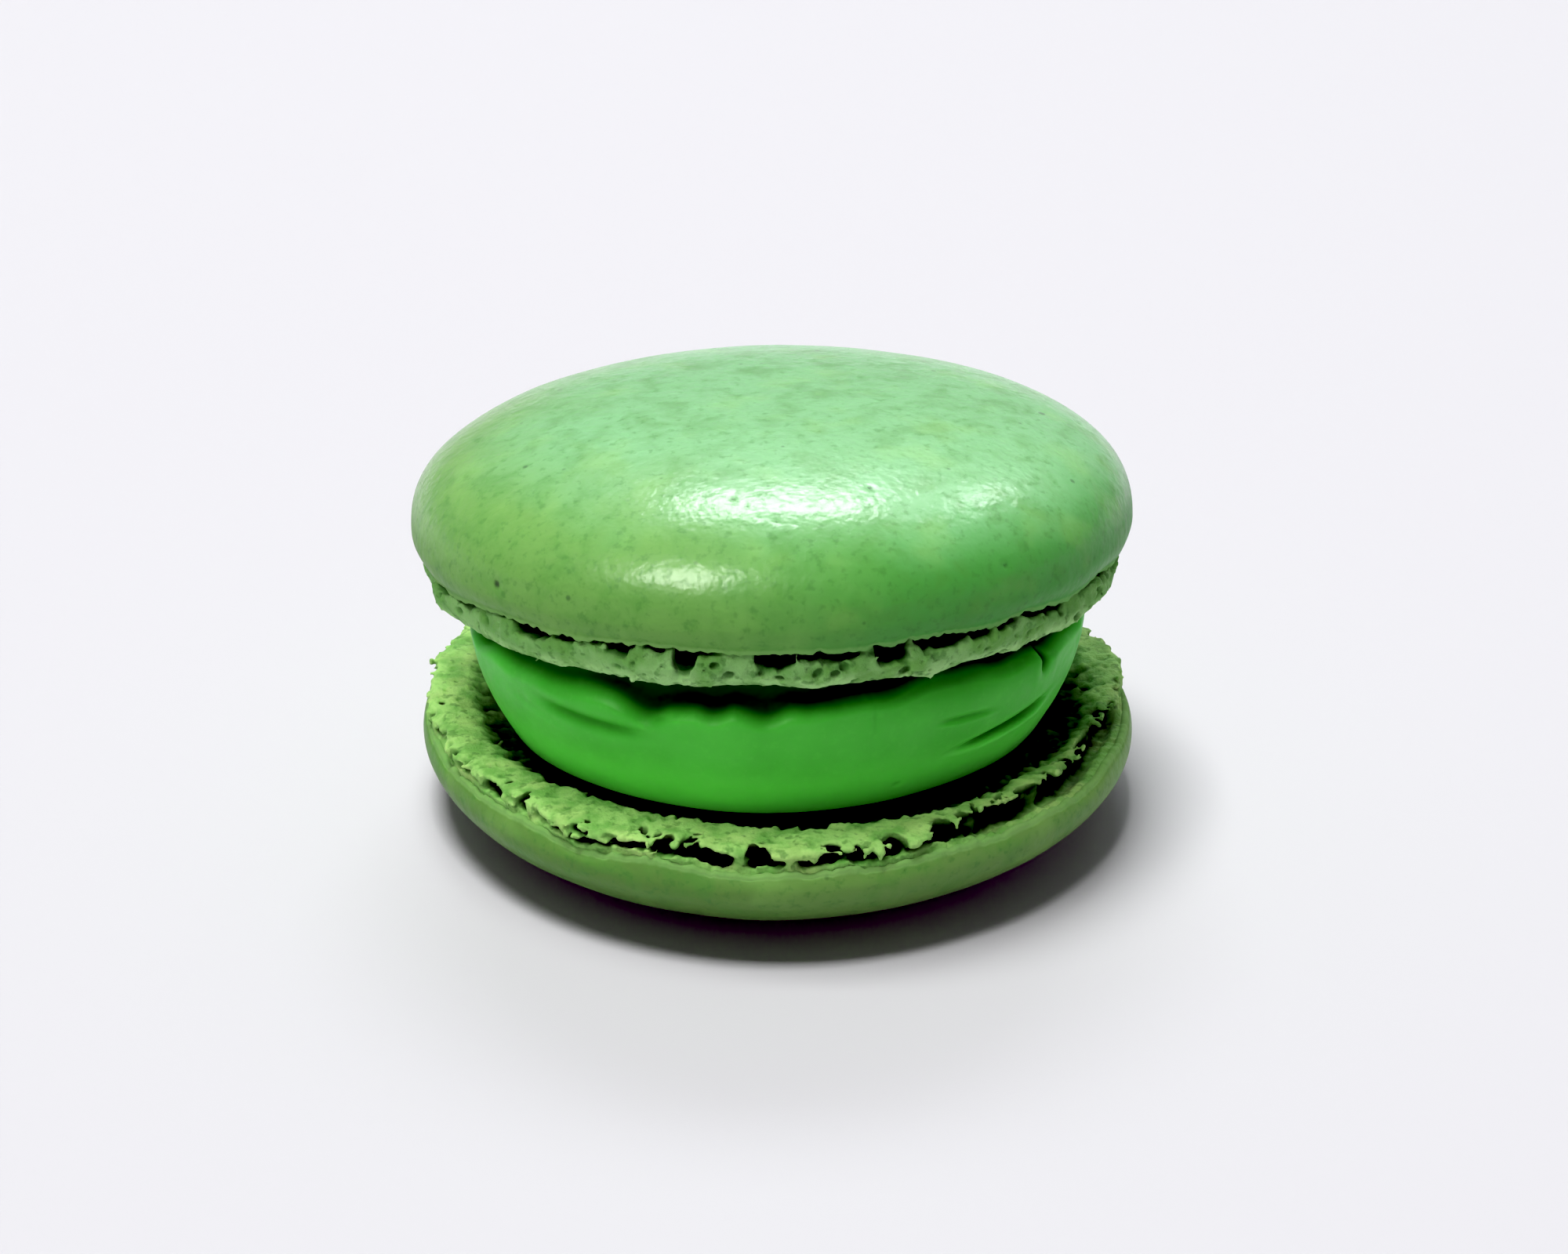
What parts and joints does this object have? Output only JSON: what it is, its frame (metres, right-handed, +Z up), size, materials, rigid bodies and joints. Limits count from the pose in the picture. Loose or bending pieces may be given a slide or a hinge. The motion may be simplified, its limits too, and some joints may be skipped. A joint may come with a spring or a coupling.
{
  "type": "french macaron",
  "caption": "Round sandwich biscuit: smooth domed shells with ruffled feet on either side of a thick buttercream disc, resting on its lower dome.",
  "frame": {"origin": "centre of the small flat spot under the lower dome, on which the biscuit rests", "axes": "+Z up through the stack, -Y towards the front, where the filling is thickest"},
  "size_m": [0.0455, 0.0456, 0.0278],
  "materials": {
    "shell": "satin baked meringue skin, matt crumb at the foot",
    "filling": "soft satin buttercream"
  },
  "bodies": {
    "root": {"lower_shell": "shell", "filling": "filling", "upper_shell": "shell"}
  },
  "joints": []
}
